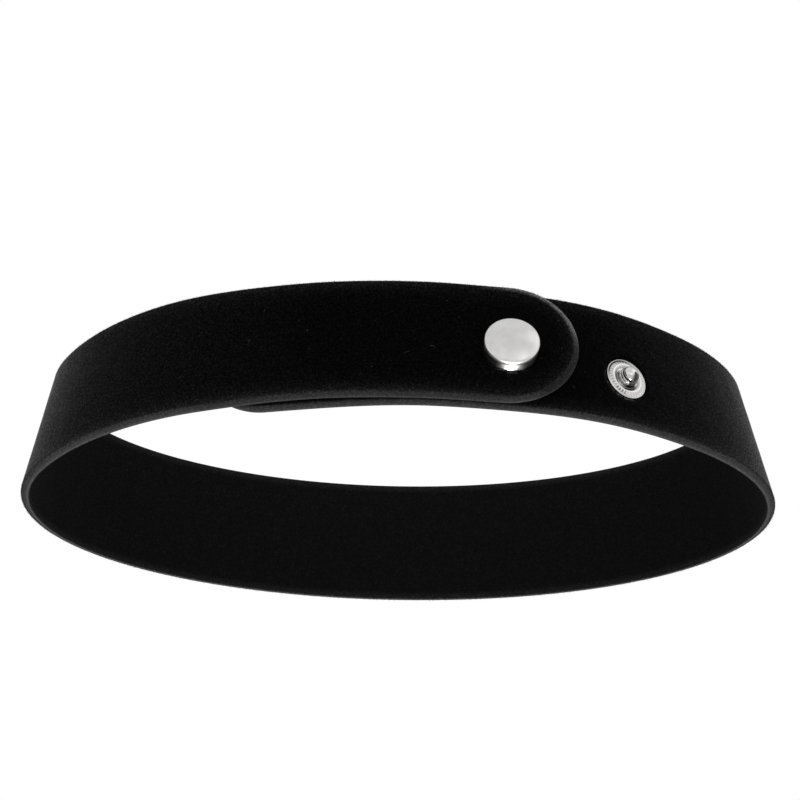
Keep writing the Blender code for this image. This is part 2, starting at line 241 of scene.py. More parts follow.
STATIONS = stations()
TIP_STEPS = 40
TIP_ANGLES = np.linspace(math.pi / 2, 0.0, TIP_STEPS + 1)


def outline(inset_edge, inset_tip):
    """Distances along the strap and half widths, from the tail's tip to the tab's tip."""
    radius = STRAP_WIDTH / 2
    reach = (radius - inset_tip) * np.sin(TIP_ANGLES)
    half = (radius - inset_edge) * np.cos(TIP_ANGLES)
    straight = STATIONS[1:-1]
    along = np.concatenate([STATIONS[0] - reach, straight, STATIONS[-1] + reach[::-1]])
    halves = np.concatenate([half, np.full(len(straight), radius - inset_edge), half[::-1]])
    return along, halves


NAP = (
    # scale of the unevenness, where its pattern starts and how high it is
    (260.0, (0.0, 0.0, 0.0), 0.00003),
    (1500.0, (7.0, 3.0, 1.0), 0.000022),
)
PRESSED = (
    # middle along the strap, height, radius of the metal with its gap, and how deep the pile is pressed
    (LOOP.length + SNAP_SIDE, CAP_UP, CAP_RADIUS + FIT_GAP, 0.00018),
    (SNAP_SIDE + SNAP_SPACING, STUD_UP, FLANGE_RADIUS + FIT_GAP, 0.00022),
)
PRESSED_BAND = 0.0007
PRESSED_START = 0.0001
RIDGE_HEIGHT = 0.00004  # pile pushed up round a pressed place
RIDGE_OFFSET = 0.0008
RIDGE_BREADTH = 0.0004


def pile_height(along, height):
    """How far the pile stands proud of the plain solid: an uneven nap, pressed down round the snaps."""
    proud = np.zeros(along.shape)
    flat_along, flat_height = along.ravel(), height.ravel()
    for index in range(len(flat_along)):
        spot = Vector((flat_along[index], flat_height[index], 0.0))
        for scale, start, rise in NAP:
            proud.flat[index] += rise * noise.noise(spot * scale + Vector(start))
    for centre, up, radius, depth in PRESSED:
        away = np.hypot(along - centre, height - up) - radius
        proud -= depth * (1.0 - smooth_step((away + PRESSED_START) / PRESSED_BAND))
        proud += RIDGE_HEIGHT * np.exp(-((away - RIDGE_OFFSET) / RIDGE_BREADTH) ** 2)
    return proud


PAINTED_EDGE_SHEEN_REACH = 0.0011  # how far the painted sheen along an edge fades into the face
PAINTED_TIP_LIGHT_BAND = 0.0010  # width of the painted light on the pile round the tab's tip
PAINTED_TIP_LIGHT_FADE = 1.4  # how many such widths reach from the edge to where it ends
PAINTED_TIP_LIGHT = (
    # direction from the tip's middle in degrees, 0 along the strap and 90 up, and how much painted light
    # falls on the pile there
    (-20.0, 0.00),
    (-4.0, 0.04),
    (8.0, 0.34),
    (25.0, 0.80),
    (45.0, 1.00),
    (65.0, 1.00),
    (82.0, 0.75),
    (96.0, 0.30),
    (112.0, 0.00),
)
PAINTED_TAB_SHADE_BAND = 0.0006  # width of the painted shade along the tab's lower edge
PAINTED_TAB_SHADE_FADE = 1.8  # how many such widths reach from the edge to where it ends
PAINTED_TAB_SHADE = (
    # direction from the tip's middle in degrees, as above, and how much the painted shade darkens the edge
    (-179.9, 0.00),
    (-160.0, 0.30),
    (-100.0, 0.30),
    (-82.0, 0.10),
    (-68.0, 0.20),
    (-55.0, 0.70),
    (-15.0, 0.65),
    (2.0, 0.30),
    (14.0, 0.00),
)
PAINTED_SIDE_LIGHT = (
    # distance along the strap in millimetres, and how much painted light falls on the pile there, where it
    # leans toward the light
    (-70.0, 0.0),
    (-60.0, 0.9),
    (-46.0, 1.0),
    (-32.0, 0.5),
    (-20.0, 0.0),
)


def pile_shades(along, height):
    """Painted sheen near an edge, painted light round the tab's tip, painted light on the pile left of the
    closure where it leans toward the light, and painted shade along the tab's lower edge, from 0 to 1.
    """
    middle = STRAP_WIDTH / 2
    tab_centre = LOOP.tab_tip - middle
    over_tab = np.maximum(along - tab_centre, 0.0)
    over_tail = np.maximum(LOOP.tail_tip + middle - along, 0.0)
    inside = middle - np.hypot(over_tab + over_tail, height - middle)
    # Painted sheen: the pile is painted lighter toward each edge
    painted_edge_sheen = np.exp(-np.maximum(inside, 0.0) / PAINTED_EDGE_SHEEN_REACH)
    direction = np.degrees(np.arctan2(height - middle, along - tab_centre))
    degrees, amounts = zip(*PAINTED_TIP_LIGHT)
    amount = np.interp(direction, degrees, amounts, left=0.0, right=0.0)
    # Painted light on the pile round the tab's upper tip
    painted_tip_light = amount * smooth_step(PAINTED_TIP_LIGHT_FADE - np.maximum(inside, 0.0) / PAINTED_TIP_LIGHT_BAND)
    places, leans = zip(*PAINTED_SIDE_LIGHT)
    around = (along + LOOP.length / 2) % LOOP.length - LOOP.length / 2
    # Painted light on the pile left of the closure
    painted_side_light = np.interp(around * 1000, places, leans, left=0.0, right=0.0)
    degrees, amounts = zip(*PAINTED_TAB_SHADE)
    amount = np.interp(direction, degrees, amounts, left=0.0, right=0.0)
    # Painted shade along the tab's lower edge
    painted_tab_shade = amount * smooth_step(PAINTED_TAB_SHADE_FADE - inside / PAINTED_TAB_SHADE_BAND)
    on_tip = along > tab_centre - middle / 2
    on_tab = along > LOOP.length + LOOP.tail_tip
    return painted_edge_sheen, np.where(on_tip, painted_tip_light, 0.0), painted_side_light, np.where(on_tab, painted_tab_shade, 0.0)


def strap_points():
    """Rows of points round the whole section, from the top of the outer face down and round the back."""
    middle = STRAP_WIDTH / 2
    rows = []
    shades = []

    def row(along, height, depth, rim, proud=0.0):
        base, up, out = LOOP.axes(along)
        rows.append(base + up * height[:, None] - out * (depth - proud)[:, None])
        shades.append((np.full(len(along), rim), *pile_shades(along, height)))

    along, halves = outline(EDGE_ROLL, TIP_ROLL)
    for share in FACE_SHARES:
        height = middle + halves * share
        proud = pile_height(along, height) * (1.0 - abs(share) ** NAP_FADE)
        row(along, height, np.zeros(len(along)), 0.0, proud)
    for inset, depth, rim in EDGE_ROWS:
        along, halves = outline(inset * EDGE_ROLL, inset * TIP_ROLL)
        row(along, middle - halves, np.full(len(along), depth * STRAP_THICKNESS), rim)
    along, halves = outline(EDGE_ROWS[-1][0] * EDGE_ROLL, EDGE_ROWS[-1][0] * TIP_ROLL)
    for share in np.linspace(-1.0, 1.0, BACK_ROWS + 1)[1:-1]:
        row(along, middle + halves * share, np.full(len(along), STRAP_THICKNESS), BACK_RIM)
    for inset, depth, rim in EDGE_ROWS[:0:-1]:
        along, halves = outline(inset * EDGE_ROLL, inset * TIP_ROLL)
        row(along, middle + halves, np.full(len(along), depth * STRAP_THICKNESS), rim)
    return np.array(rows), np.array(shades)


def strap_mesh():
    points, shades = strap_points()
    rings, count = points.shape[:2]
    mesh = bpy.data.meshes.new("velvet_strap")
    faces = []
    for ring in range(rings):
        there = (ring + 1) % rings
        for index in range(count - 1):
            near, far = ring * count + index, there * count + index
            faces.append((near, far, far + 1, near + 1))
    mesh.from_pydata(points.reshape(-1, 3).tolist(), [], faces)
    for index, name in enumerate(("rim", "painted_edge_sheen", "painted_tip_light", "painted_side_light", "painted_tab_shade")):
        layer = mesh.attributes.new(name, "FLOAT", "POINT")
        layer.data.foreach_set("value", shades[:, index].reshape(-1).astype(np.float32))
    solid = bmesh.new()
    solid.from_mesh(mesh)
    bmesh.ops.remove_doubles(solid, verts=solid.verts, dist=1e-7)
    bmesh.ops.dissolve_degenerate(solid, edges=solid.edges, dist=1e-8)
    bmesh.ops.recalc_face_normals(solid, faces=solid.faces)
    solid.to_mesh(mesh)
    solid.free()
    return mesh


# Turned pieces

SHARP_FROM = math.radians(38)
CAP_SIDES = 144
TOOTH_SIDES = 8
CUTTER_SIDES = 96
CAP_SEAT_SHARE = 0.97  # of the cap's radius
FLANGE_FOOT_SHARE = 0.97  # of the flange's radius
FLANGE_SEAT_GAP = 0.0001


def turned(name, profile, sides, matrix, relief=None):
    """A solid turned about Z from (radius, height) rows. relief(row, angle) gives a shift and how dark the
    painted shade and reflection are there.
    """
    solid = bmesh.new()
    layer = solid.verts.layers.float.new("painted_shade_and_reflection")
    rings = []
    for row, (radius, height) in enumerate(profile):
        if radius == 0.0:
            rings.append([solid.verts.new((0.0, 0.0, height))] * sides)
            continue
        ring = []
        for side in range(sides):
            angle = 2 * math.pi * side / sides
            shift, painted_shade_and_reflection = relief(row, angle) if relief else (0.0, 0.0)
            vertex = solid.verts.new((radius * math.cos(angle), radius * math.sin(angle), height + shift))
            vertex[layer] = painted_shade_and_reflection
            ring.append(vertex)
        rings.append(ring)
    for lower, upper in zip(rings, rings[1:]):
        for side in range(sides):
            there = (side + 1) % sides
            corners = tuple(dict.fromkeys((lower[side], lower[there], upper[there], upper[side])))
            if len(corners) > 2:
                solid.faces.new(corners)
    bmesh.ops.recalc_face_normals(solid, faces=solid.faces)
    mesh = bpy.data.meshes.new(name)
    solid.to_mesh(mesh)
    solid.free()
    body = bpy.data.objects.new(name, mesh)
    bpy.context.scene.collection.objects.link(body)
    body.matrix_world = matrix
    mesh.shade_smooth()
    mesh.set_sharp_from_angle(angle=SHARP_FROM)
    return body


def stepped(rows):
    """Profile of a stack of plain cylinders, from (radius, low, high) rows that meet."""
    profile = [(0.0, rows[0][1])]
    for radius, low, high in rows:
        profile += [(radius, low), (radius, high)]
    profile.append((0.0, rows[-1][2]))
    return profile


def cut_seats(strap):
    """Cuts the seats and holes of the snaps out of the strap."""
    hole = COLLAR_RADIUS + FIT_GAP + POST_WALL + FIT_GAP
    socket_seat = -STRAP_THICKNESS + SOCKET_SINK + FIT_GAP
    cap_seat = -CAP_SINK - FIT_GAP
    tab = stepped(
        (
            (SOCKET_RADIUS + FIT_GAP, -STRAP_THICKNESS - LAYER_GAP / 2, socket_seat),
            (hole, socket_seat, cap_seat),
            (CAP_RADIUS * CAP_SEAT_SHARE, cap_seat, CAP_SKIRT),
        )
    )
    head_seat = -STRAP_THICKNESS + RIVET_SINK + FIT_GAP
    flange_seat = FLANGE_PROUD - FLANGE_THICKNESS - FIT_GAP
    tail = stepped(
        (
            (RIVET_HEAD_RADIUS + FIT_GAP, -2 * STRAP_THICKNESS, head_seat),
            (RIVET_RADIUS + FIT_GAP, head_seat, flange_seat),
            (FLANGE_RADIUS + FLANGE_SEAT_GAP, flange_seat, LAYER_GAP / 2),
        )
    )
    cutters = [turned("cutter", tab, CUTTER_SIDES, TAB_FRAME)]
    cutters += [turned("cutter", tail, CUTTER_SIDES, matrix) for matrix in (CLOSED_FRAME, OPEN_FRAME)]
    for cutter in cutters:
        modifier = strap.modifiers.new("seat", "BOOLEAN")
        modifier.operation = "DIFFERENCE"
        modifier.solver = "EXACT"
        modifier.object = cutter
    graph = bpy.context.evaluated_depsgraph_get()
    cut = strap.evaluated_get(graph)
    mesh = bpy.data.meshes.new_from_object(cut, preserve_all_data_layers=True, depsgraph=graph)
    strap.modifiers.clear()
    strap.data = mesh
    for cutter in cutters:
        bpy.data.objects.remove(cutter, do_unlink=True)


SKIRT_PROFILE = (
    # radius as a share of the cap's, height as a share of the skirt's
    (0.935, 0.00),
    (0.968, 0.05),
    (0.975, 0.11),
    (0.960, 0.20),
    (0.936, 0.31),
    (0.912, 0.44),
    (0.895, 0.57),
    (0.905, 0.67),
    (0.955, 0.77),
    (0.990, 0.84),
    (1.000, 0.92),
)
DOME_PROFILE = (
    # radius as a share of the cap's, height as a share of the dome's
    (1.000, 0.00),
    (0.992, 0.14),
    (0.970, 0.25),
    (0.920, 0.37),
    (0.800, 0.54),
    (0.600, 0.75),
    (0.400, 0.89),
    (0.200, 0.97),
    (0.000, 1.00),
)
CAP_STEPS = 4  # rows of the finished curve for each of the cap's own rows


def rounded(profile, steps):
    """Rows on a smooth curve through these (radius, height) rows, the last of which is on the axis."""
    first, second, last = profile[0], profile[1], profile[-1]
    before = (2 * first[0] - second[0], 2 * first[1] - second[1])
    after = (-profile[-2][0], profile[-2][1])
    rows = np.array([before, *profile, after])
    curve = []
    for start in range(len(profile) - 1):
        one, two, three, four = rows[start:start + 4]
        for step in range(steps):
            share = step / steps
            bend = (2 * one - 5 * two + 4 * three - four) * share ** 2
            twist = (3 * two - one - 3 * three + four) * share ** 3
            curve.append((2 * two + (three - one) * share + bend + twist) / 2)
    return [(float(radius), float(height)) for radius, height in curve] + [last]


CAP_TUBE_ROWS = 5  # rows of the profile before the skirt's first
FOOT_ROWS = 8 * CAP_STEPS  # rows of the skirt below the dome's edge


def cap_relief(row, angle):
    """Painted reflection of the black velvet: the foot of the skirt is darker on both sides of the cap's
    lowest point.
    """
    if row < CAP_TUBE_ROWS or row > CAP_TUBE_ROWS + FOOT_ROWS:
        return 0.0, 0.0
    return 0.0, sector("foot", angle)


def cap_profile():
    """Domed cap with a rolled skirt, and the tube that passes the tab."""
    tube_bore = COLLAR_RADIUS + FIT_GAP
    tube_radius = tube_bore + POST_WALL
    tail_face = -STRAP_THICKNESS - LOOP.snap_gap()
    tube_end = tail_face + FLANGE_PROUD + FLANGE_BEAD + FIT_GAP + SNAP_PLAY
    bore_top = tail_face + FLANGE_PROUD + STUD_HEIGHT + FIT_GAP
    rows = [(0.0, bore_top), (tube_bore, bore_top), (tube_bore, tube_end), (tube_radius, tube_end)]
    rows.append((tube_radius, -CAP_SINK))
    skirt_height = CAP_SKIRT + CAP_SINK
    skirt = [(CAP_RADIUS * radius, skirt_height * height - CAP_SINK) for radius, height in SKIRT_PROFILE]
    dome = [(CAP_RADIUS * radius, CAP_SKIRT + CAP_DOME * height) for radius, height in DOME_PROFILE]
    return rows + rounded(skirt + dome, CAP_STEPS)


STUD_ROWS = (
    # part of the stud, radius and height above the flange's top in millimetres, and how dark its painted
    # shade and reflection are;
    # the rim, the valley and the head are that dark only inside their dark sectors
    ("rim", 4.15, -0.16, 0.0),
    ("rim", 4.14, -0.04, 0.0),
    ("rim", 4.07, 0.02, 0.0),
    ("rim", 4.01, 0.00, 0.3),
    ("rim", 3.94, -0.12, 1.0),
    ("rim", 3.82, -0.17, 1.0),
    ("rim", 3.70, -0.09, 1.0),
    ("teeth", 3.62, 0.05, 0.0),
    ("teeth", 3.52, 0.13, 0.0),
    ("teeth", 3.38, 0.18, 0.0),
    ("teeth", 3.24, 0.23, 0.0),
    ("bead", 3.12, 0.29, 0.0),
    ("bead", 2.98, 0.33, 0.0),
    ("bead", 2.82, 0.32, 0.0),
    ("bead", 2.66, 0.25, 0.1),
    ("bead", 2.54, 0.14, 0.0),
    ("valley", 2.42, -0.04, 0.5),
    ("valley", 2.30, -0.20, 1.0),
    ("valley", 2.12, -0.22, 1.0),
    ("valley", 1.98, -0.12, 0.8),
    ("collar", 1.91, 0.06, 0.3),
    ("collar", 1.90, 0.36, 0.0),
    ("collar", 1.88, 0.64, 0.0),
    ("collar", 1.85, 0.88, 0.0),
    ("collar", 1.80, 1.06, 0.0),
    ("collar", 1.74, 1.18, 0.0),
    ("top", 1.66, 1.24, 0.8),
    ("neck", 1.52, 1.24, 1.0),
    ("neck", 1.42, 1.26, 1.0),
    ("neck", 1.42, 1.36, 1.0),
    ("ball", 1.47, 1.42, 0.4),
    ("ball", 1.53, 1.50, 0.0),
    ("ball", 1.55, 1.60, 0.0),
    ("head", 1.54, 1.74, 0.8),
    ("head", 1.47, 1.90, 1.0),
    ("head", 1.34, 2.08, 1.0),
    ("head", 1.16, 2.26, 1.0),
    ("head", 0.94, 2.42, 1.0),
    ("head", 0.70, 2.54, 1.0),
    ("head", 0.44, 2.62, 1.0),
    ("head", 0.20, 2.66, 1.0),
    ("ball", 0.00, 2.67, 0.0),
)
TOOTH_DEPTH = 0.00014
FLANGE_TEETH = 36
GROOVE_SHARPNESS = 1.5
SECTOR_FADE = 1.6  # how steeply a dark sector ends
MARK_SCALE = 6.0
MARK_DEPTH = 0.9
PAINTED_DARK_SECTORS = (
    # part of the stud or the cap's foot, middle direction in degrees from the right, half breadth, how dark
    # its painted shade or painted reflection of dark surroundings is
    ("teeth", 100.0, 42.0, 1.0),
    ("teeth", 180.0, 58.0, 0.55),
    ("teeth", 238.0, 30.0, 1.0),
    ("valley", 175.0, 55.0, 0.85),
    ("valley", 285.0, 75.0, 1.0),
    ("collar", 288.0, 62.0, 0.9),
    ("rim", 125.0, 75.0, 1.0),
    ("head", 302.0, 62.0, 1.0),
    # Painted reflections of the black velvet in the cap's skirt, on both sides of its lowest point
    ("foot", 214.0, 46.0, 0.95),
    ("foot", 328.0, 44.0, 0.85),
)


def stud_profile():
    under = FLANGE_PROUD - FLANGE_THICKNESS
    bore = RIVET_RADIUS + FIT_GAP
    bore_top = under + RIVET_REACH + FIT_GAP
    rows = [(0.0, bore_top), (bore, bore_top), (bore, under), (FLANGE_RADIUS * FLANGE_FOOT_SHARE, under)]
    return rows + [(radius / 1000, FLANGE_PROUD + height / 1000) for _, radius, height, _ in STUD_ROWS]


def sector(part, angle):
    """How dark the painted shade and reflection on this part of the metal are in this direction, from 0 to
    1.
    """
    dark = 0.0
    for name, middle, breadth, amount in PAINTED_DARK_SECTORS:
        if name == part:
            away = abs((math.degrees(angle) - middle + 180.0) % 360.0 - 180.0) / breadth
            dark = max(dark, amount * float(smooth_step(SECTOR_FADE * (1.0 - away))))
    return dark


def stud_relief(row, angle):
    """Radial teeth on the flange's band, drawing marks up the collar, and how dark the painted shade and
    reflection are at each point.
    """
    first = len(stud_profile()) - len(STUD_ROWS)
    if row < first:
        return 0.0, 0.0
    part, _, _, painted_shade_and_reflection = STUD_ROWS[row - first]
    dark = sector(part, angle)
    if part == "teeth":
        groove = (1.0 - math.cos(FLANGE_TEETH * angle)) / 2
        return -TOOTH_DEPTH * groove, dark * groove ** GROOVE_SHARPNESS
    if part == "collar":
        mark = noise.noise(MARK_SCALE * Vector((math.cos(angle), math.sin(angle), 0.0)))
        return 0.0, max(painted_shade_and_reflection, min(1.0, dark + MARK_DEPTH * mark))
    if part in ("rim", "valley", "head"):
        return 0.0, painted_shade_and_reflection * dark
    return 0.0, painted_shade_and_reflection


# Materials


class Paint:
    """Builds one node material."""

    def __init__(self, name, colour, roughness, metallic=0.0):
        self.material = bpy.data.materials.new(name)
        self.material.use_nodes = True
        self.nodes = self.material.node_tree.nodes
        self.shader = self.nodes["Principled BSDF"]
        self.shader.inputs["Base Color"].default_value = (*colour, 1.0)
        self.shader.inputs["Roughness"].default_value = roughness
        self.shader.inputs["Metallic"].default_value = metallic
        self.place = self.add("ShaderNodeTexCoord").outputs["Object"]

    def add(self, kind, **settings):
        node = self.nodes.new(kind)
        for key, value in settings.items():
            setattr(node, key, value)
        return node

    def link(self, output, target):
        self.material.node_tree.links.new(output, target)

    def noise(self, scale, detail=2.0, roughness=0.5):
        node = self.add("ShaderNodeTexNoise")
        node.inputs["Scale"].default_value = scale
        node.inputs["Detail"].default_value = detail
        node.inputs["Roughness"].default_value = roughness
        self.link(self.place, node.inputs["Vector"])
        return node.outputs["Fac"]

    def math(self, operation, *values):
        node = self.add("ShaderNodeMath", operation=operation)
        for socket, value in zip(node.inputs, values):
            if isinstance(value, (int, float)):
                socket.default_value = value
            else:
                self.link(value, socket)
        return node.outputs[0]

    def ramp(self, factor, stops):
        node = self.add("ShaderNodeValToRGB")
        elements = node.color_ramp.elements
        while len(elements) < len(stops):
            elements.new(0.5)
        for element, (position, colour) in zip(elements, stops):
            element.position = position
            element.color = (*colour, 1.0)
        self.link(factor, node.inputs["Fac"])
        return node.outputs["Color"]

    def mix(self, factor, first, second, blend="MIX"):
        node = self.add("ShaderNodeMix", data_type="RGBA", blend_type=blend)
        for socket, value in zip((node.inputs[0], node.inputs[6], node.inputs[7]), (factor, first, second)):
            if isinstance(value, (int, float)):
                socket.default_value = value
            elif isinstance(value, tuple):
                socket.default_value = (*value, 1.0)
            else:
                self.link(value, socket)
        return node.outputs[2]

    def bump(self, height, strength, distance):
        node = self.add("ShaderNodeBump")
        node.inputs["Strength"].default_value = strength
        node.inputs["Distance"].default_value = distance
        self.link(height, node.inputs["Height"])
        self.link(node.outputs["Normal"], self.shader.inputs["Normal"])

    def colour(self, output):
        self.link(output, self.shader.inputs["Base Color"])

    def rough(self, output):
        self.link(output, self.shader.inputs["Roughness"])


BLACK = (0.0, 0.0, 0.0)
WHITE = (1.0, 1.0, 1.0)
# Colours of the painted shade on the tab's lower edge, the painted sheen along the edges, and the painted
# light left of the closure and round the tab's tip
PAINTED_TAB_SHADE_TONE = (0.0110, 0.0110, 0.0112)
PAINTED_EDGE_SHEEN_TONE = (0.0180, 0.0180, 0.0184)
PAINTED_SIDE_LIGHT_TONE = (0.0022, 0.0022, 0.0022)
PAINTED_TIP_LIGHT_TONE = (0.175, 0.175, 0.178)
FLUFF = (1700.0, 5.0, 0.65)  # scale, detail and roughness of a noise, here and in the next five
RUFFLE = (2300.0, 4.0, 0.70)
GRAIN = (2900.0, 4.0, 0.70)
PILE_NAP = (2500.0, 5.0, 0.70)
SATIN_GRAIN = (9000.0, 3.0, 0.60)
CLOUD = (700.0, 2.0, 0.50)
NAP_STRENGTH = 0.85
NAP_DISTANCE = 0.00030
BLUR = 0.8  # how far the edge's tones wander, in millimetres
STRIP_CALM = 0.55  # how much of the grain's contrast is taken out of the edge
# Painted sheen where the face is seen at a grazing angle
PAINTED_SHEEN_POWER = 4.7
PAINTED_SHEEN_AMOUNT = 0.17
EDGE_TONES = (
    # distance round the edge, as a share of the inner side's, and the pile's colour there
    (0.00, (0.0026, 0.0026, 0.0027)),
    (0.03, (0.0100, 0.0100, 0.0104)),
    (0.08, (0.0300, 0.0300, 0.0308)),
    (0.14, (0.0540, 0.0540, 0.0552)),
    (0.24, (0.0660, 0.0660, 0.0675)),
    (0.44, (0.0760, 0.0760, 0.0776)),
    (0.53, (0.1250, 0.1250, 0.1270)),
    (0.62, (0.1200, 0.1200, 0.1220)),
    (0.70, (0.0220, 0.0220, 0.0225)),
    (1.00, (0.0080, 0.0080, 0.0085)),
)
GRAIN_TONES = ((0.28, (0.10, 0.10, 0.10)), (0.50, (0.80, 0.80, 0.80)), (0.72, (3.0, 3.0, 3.0)))


def velvet():
    """Black pile, a lighter rolled edge, the backing's cut edge and its plain inner side, with painted
    sheen at grazing angles and near the edges, painted light round the tab's tip and left of the closure,
    and painted shade along the tab's lower edge.
    """
    paint = Paint("velvet_pile", (0.001, 0.001, 0.001), 1.0)
    shader = paint.shader
    shader.inputs["Specular IOR Level"].default_value = 0.0
    shader.inputs["Sheen Weight"].default_value = 0.03
    shader.inputs["Sheen Roughness"].default_value = 0.28
    rim, painted_edge_sheen, painted_tip_light, painted_side_light, painted_tab_shade = (
        paint.add("ShaderNodeAttribute", attribute_type="GEOMETRY", attribute_name=name).outputs["Fac"]
        for name in ("rim", "painted_edge_sheen", "painted_tip_light", "painted_side_light", "painted_tab_shade")
    )
    fluff = paint.noise(*FLUFF)
    blur = paint.math("MULTIPLY_ADD", fluff, BLUR, -BLUR / 2)
    off_face = paint.ramp(rim, ((0.0, BLACK), (0.3, WHITE)))
    blur = paint.math("MULTIPLY", blur, off_face)
    where = paint.math("MULTIPLY", paint.math("ADD", rim, blur), 1 / BACK_RIM)
    edge = paint.ramp(where, EDGE_TONES)
    on_face = paint.ramp(rim, ((0.0, WHITE), (0.4, BLACK)))
    # Painted sheen along the edges, then painted light left of the closure, both on the face only
    painted_face_light = paint.ramp(painted_edge_sheen, ((0.0, BLACK), (1.0, PAINTED_EDGE_SHEEN_TONE)))
    # Painted light on the pile left of the closure, added to the face
    painted_face_light = paint.mix(1.0, painted_face_light, paint.ramp(painted_side_light, ((0.0, BLACK), (1.0, PAINTED_SIDE_LIGHT_TONE))), "ADD")
    # Painted shade darkens the tab's lower edge and the lower side of its tip
    edge = paint.mix(painted_tab_shade, edge, PAINTED_TAB_SHADE_TONE)
    pile = paint.mix(1.0, edge, paint.mix(1.0, painted_face_light, on_face, "MULTIPLY"), "ADD")
    # Painted sheen: the face's colour is made lighter where it is seen at a grazing angle
    weight = paint.add("ShaderNodeLayerWeight")
    weight.inputs["Blend"].default_value = 0.5
    facing = paint.math("POWER", weight.outputs["Facing"], PAINTED_SHEEN_POWER)
    painted_grazing_sheen = paint.ramp(paint.math("MULTIPLY", facing, PAINTED_SHEEN_AMOUNT), ((0.0, BLACK), (1.0, WHITE)))
    painted_grazing_sheen = paint.mix(1.0, painted_grazing_sheen, on_face, "MULTIPLY")
    pile = paint.mix(1.0, pile, painted_grazing_sheen, "ADD")
    ruffle = paint.noise(*RUFFLE)
    # Painted light on the pile round the tab's upper tip, as if lit from the upper right
    lit = paint.math("MULTIPLY", painted_tip_light, paint.math("MULTIPLY_ADD", ruffle, 2.6, -0.3))
    pile = paint.mix(1.0, pile, paint.ramp(lit, ((0.0, BLACK), (1.0, PAINTED_TIP_LIGHT_TONE))), "ADD")
    tone = paint.ramp(paint.noise(*GRAIN), GRAIN_TONES)
    tone = paint.mix(paint.math("MULTIPLY", off_face, STRIP_CALM), tone, WHITE)
    paint.colour(paint.mix(1.0, pile, tone, "MULTIPLY"))
    paint.bump(paint.noise(*PILE_NAP), NAP_STRENGTH, NAP_DISTANCE)
    return paint.material


WEAR = 0.10  # how much the roughness of metal varies
SATIN_STRENGTH = 0.08
SATIN_DISTANCE = 0.00002
CLOUD_SHADE = 0.90
# How far the painted shade and reflection darken the metal, as a share of its colour
PAINTED_SHADE_AND_REFLECTION_LEVEL = 0.08


def satin(name, colour, roughness):
    """Pressed metal with a fine satin grain, and painted shade and reflections that darken it in its
    recesses and dark sectors.
    """
    paint = Paint(name, colour, roughness, 1.0)
    grain = paint.noise(*SATIN_GRAIN)
    cloud = paint.noise(*CLOUD)
    paint.rough(paint.math("MULTIPLY_ADD", cloud, WEAR, roughness - WEAR / 2))
    shade = paint.ramp(cloud, ((0.3, tuple(CLOUD_SHADE * channel for channel in colour)), (0.7, colour)))
    # Painted shade and painted reflections darken the metal where the turned piece's attribute says
    painted_shade_and_reflection = paint.add("ShaderNodeAttribute", attribute_type="GEOMETRY", attribute_name="painted_shade_and_reflection")
    deep = tuple(PAINTED_SHADE_AND_REFLECTION_LEVEL * channel for channel in colour)
    paint.colour(paint.mix(painted_shade_and_reflection.outputs["Fac"], shade, deep))
    paint.bump(grain, SATIN_STRENGTH, SATIN_DISTANCE)
    return paint.material


def finish(body, material):
    body.data.materials.clear()
    body.data.materials.append(material)


# Pieces

strap = bpy.data.objects.new("velvet_strap", strap_mesh())
bpy.context.scene.collection.objects.link(strap)
cut_seats(strap)
strap.data.shade_smooth()
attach(strap, "root")
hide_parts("strap")
finish(strap, velvet())

CAP_METAL = satin("satin_cap", (0.78, 0.775, 0.765), 0.33)
STUD_METAL = satin("bright_stud", (0.80, 0.795, 0.785), 0.13)
SOCKET_METAL = satin("satin_socket", (0.60, 0.59, 0.57), 0.35)
RIVET_METAL = satin("bright_rivet", (0.62, 0.61, 0.59), 0.32)

cap = turned("cap_dome", cap_profile(), CAP_SIDES, TAB_FRAME, cap_relief)
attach(cap, "root")
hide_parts("snap_cap")
finish(cap, CAP_METAL)

for state, matrix in (("closed", CLOSED_FRAME), ("open", OPEN_FRAME)):
    stud = turned(f"stud_{state}", stud_profile(), FLANGE_TEETH * TOOTH_SIDES, matrix, stud_relief)
    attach(stud, "root")
    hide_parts(f"snap_stud_{state}")
    finish(stud, STUD_METAL)

for node, material in (
    ("snap_socket", SOCKET_METAL),
    ("snap_rivet_closed", RIVET_METAL),
    ("snap_rivet_open", RIVET_METAL),
):
    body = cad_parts[node]
    body.data.materials.clear()
    body.data.materials.append(material)

LINT = (
    # distance along the strap, height up its face, length and heading in degrees; lengths in millimetres
    (-79.5, 20.2, 0.16, 0),
    (-74.0, 19.2, 0.16, 0),
    (-59.0, 16.2, 0.16, 30),
    (-58.8, 15.2, 0.14, 0),
    (-45.8, 7.2, 1.00, 70),
    (-44.3, 11.0, 0.18, 20),
    (-42.0, 1.5, 0.26, 20),
    (-33.0, 12.8, 0.80, 55),
    (-30.5, 19.2, 0.60, 80),
    (-24.0, 16.2, 0.50, 100),
    (-22.5, 14.0, 0.40, 20),
    (-22.0, 9.8, 0.20, 0),
    (-12.3, 6.8, 0.34, 60),
    (-11.0, 5.5, 0.20, 0),
    (-4.8, 8.5, 1.30, 25),
    (-0.3, 10.2, 0.90, 15),
    (2.3, 20.5, 0.22, 0),
    (4.2, 17.2, 0.16, 0),
    (7.0, 2.3, 0.42, 55),
    (17.8, 9.0, 0.60, 140),
    (19.2, 19.2, 0.30, 30),
    (21.0, 17.5, 0.40, 60),
    (21.4, 11.4, 0.24, 0),
    (26.2, 5.5, 0.80, 150),
    (28.7, 9.5, 0.40, 95),
    (45.8, 17.0, 0.22, 70),
)


